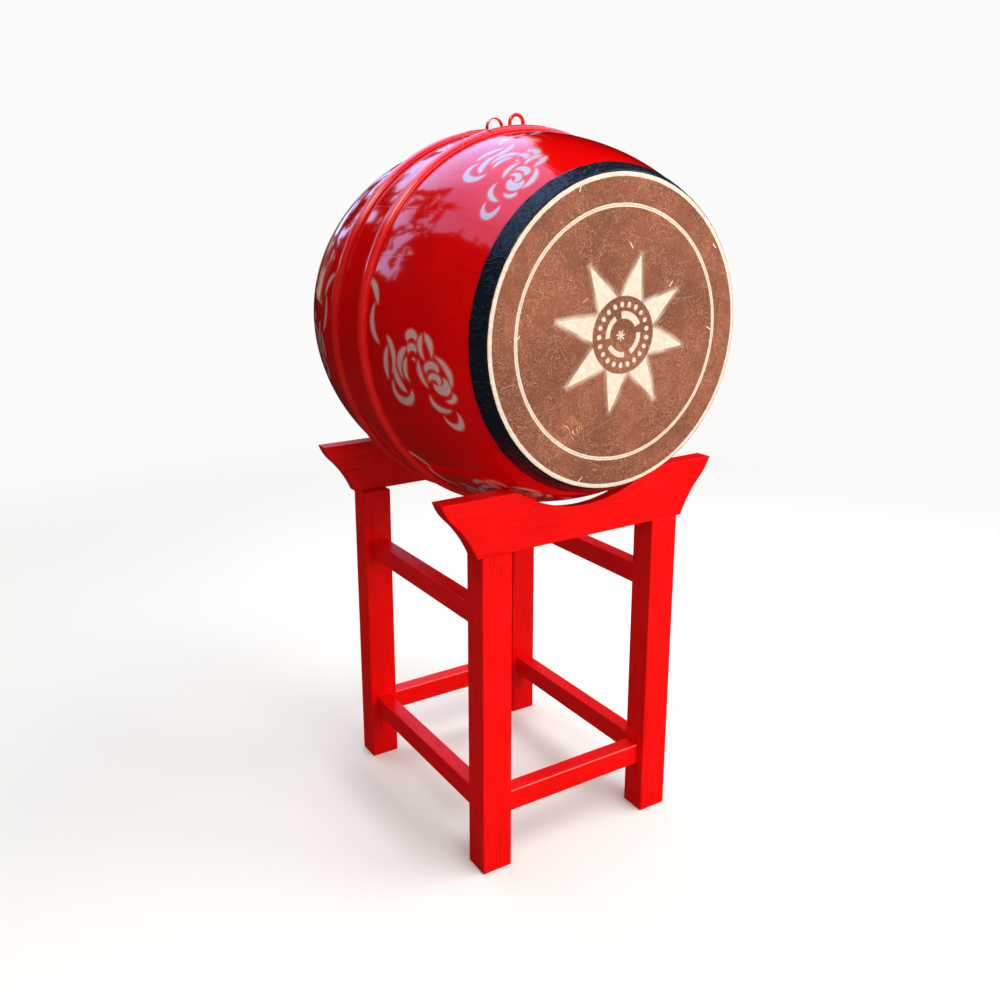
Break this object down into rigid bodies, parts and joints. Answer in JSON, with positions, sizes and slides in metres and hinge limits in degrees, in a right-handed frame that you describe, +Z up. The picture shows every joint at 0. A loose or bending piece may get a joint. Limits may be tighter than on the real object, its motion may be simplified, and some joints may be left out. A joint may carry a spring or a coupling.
{
  "type": "barrel drum on stand",
  "caption": "Large two-headed barrel drum of bent staves with hoops and hanging loops, lying in the saddles of a four-legged wooden stand.",
  "frame": {"origin": "on the floor below the middle of the drum, at the centre of the overall box", "axes": "+Z up, -Y the way the front head faces, Y along the drum's axis, X across the stand"},
  "size_m": [0.8032, 0.76, 1.564],
  "materials": {
    "red_lacquer": "glossy red lacquer over wooden staves",
    "hide": "stretched animal hide with short hairs, its lap painted black",
    "red_enamelled_steel": "glossy red enamel over steel",
    "red_paint": "satin red paint over open wood grain"
  },
  "bodies": {
    "stand": {"front_saddle": "red_paint", "rear_saddle": "red_paint", "front_left_leg": "red_paint", "front_right_leg": "red_paint", "rear_left_leg": "red_paint", "rear_right_leg": "red_paint", "front_lower_stretcher": "red_paint", "rear_lower_stretcher": "red_paint", "left_lower_stretcher": "red_paint", "right_lower_stretcher": "red_paint", "left_upper_stretcher": "red_paint", "right_upper_stretcher": "red_paint"},
    "drum": {"stave_01": "red_lacquer", "stave_02": "red_lacquer", "stave_03": "red_lacquer", "stave_04": "red_lacquer", "stave_05": "red_lacquer", "stave_06": "red_lacquer", "stave_07": "red_lacquer", "stave_08": "red_lacquer", "stave_09": "red_lacquer", "stave_10": "red_lacquer", "stave_11": "red_lacquer", "stave_12": "red_lacquer", "stave_13": "red_lacquer", "stave_14": "red_lacquer", "stave_15": "red_lacquer", "stave_16": "red_lacquer", "stave_17": "red_lacquer", "stave_18": "red_lacquer", "stave_19": "red_lacquer", "stave_20": "red_lacquer", "stave_21": "red_lacquer", "stave_22": "red_lacquer", "stave_23": "red_lacquer", "stave_24": "red_lacquer", "front_head": "hide", "rear_head": "hide", "front_hoop": "red_enamelled_steel", "front_hoop_link": "red_enamelled_steel", "rear_hoop": "red_enamelled_steel", "rear_hoop_link": "red_enamelled_steel", "front_loop": "red_enamelled_steel", "rear_loop": "red_enamelled_steel"}
  },
  "joints": [
    {"name": "drum_lift", "type": "slide", "parent": "stand", "child": "drum", "axis": [0, 0, 1], "range_m": [0, 0.16]}
  ]
}
